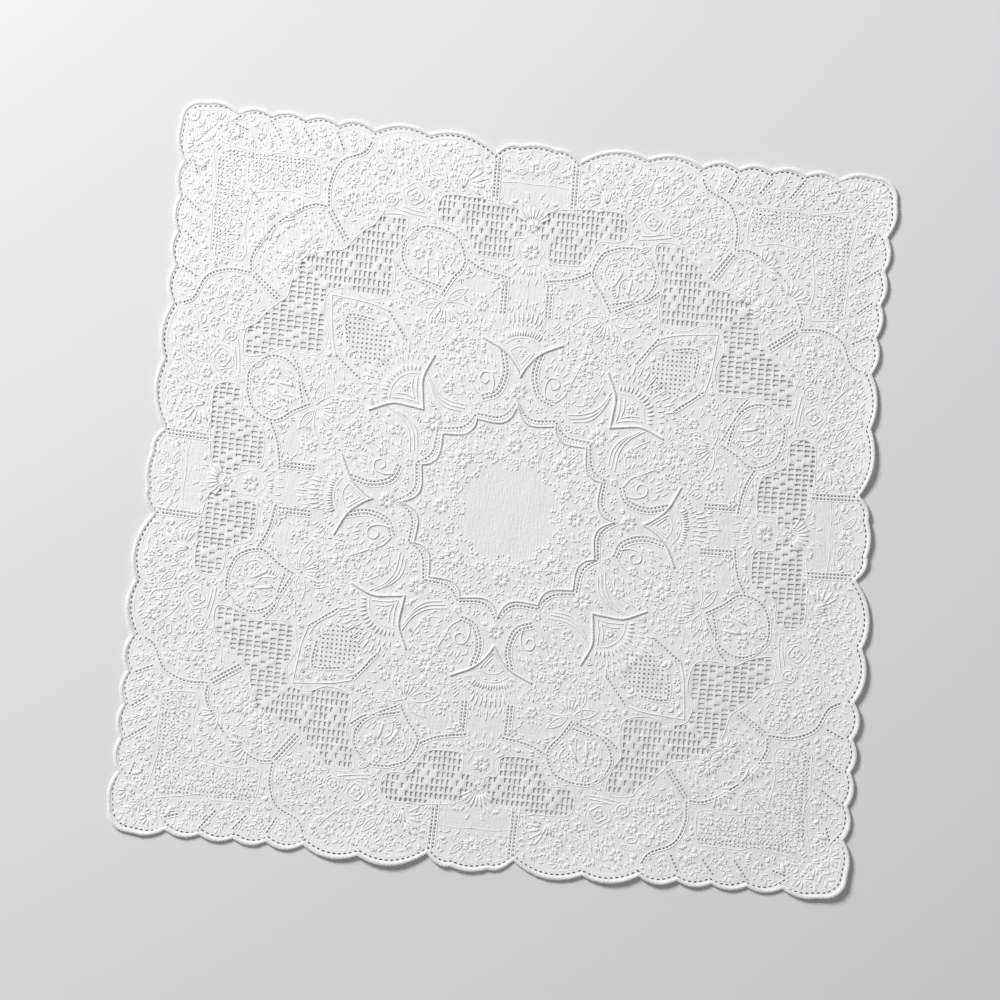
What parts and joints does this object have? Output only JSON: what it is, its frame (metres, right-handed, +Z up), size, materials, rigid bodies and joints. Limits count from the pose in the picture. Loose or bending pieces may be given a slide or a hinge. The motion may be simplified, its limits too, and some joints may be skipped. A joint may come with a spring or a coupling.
{
  "type": "embroidered handkerchief",
  "caption": "Square white cloth with a scalloped buttonholed edge, corded embroidery and drawn-thread panels, lying flat.",
  "frame": {"origin": "middle of the cloth's box, on the surface that it lies on", "axes": "+Z up off the surface; +X and +Y along the cloth's sides, +Y towards the far side"},
  "size_m": [0.4094, 0.409, 0.0036],
  "materials": {
    "cloth": "fine white plain-woven cloth with white cotton embroidery, matt with a slight sheen on the raised threads"
  },
  "bodies": {
    "root": {"cloth": "cloth"}
  },
  "joints": []
}
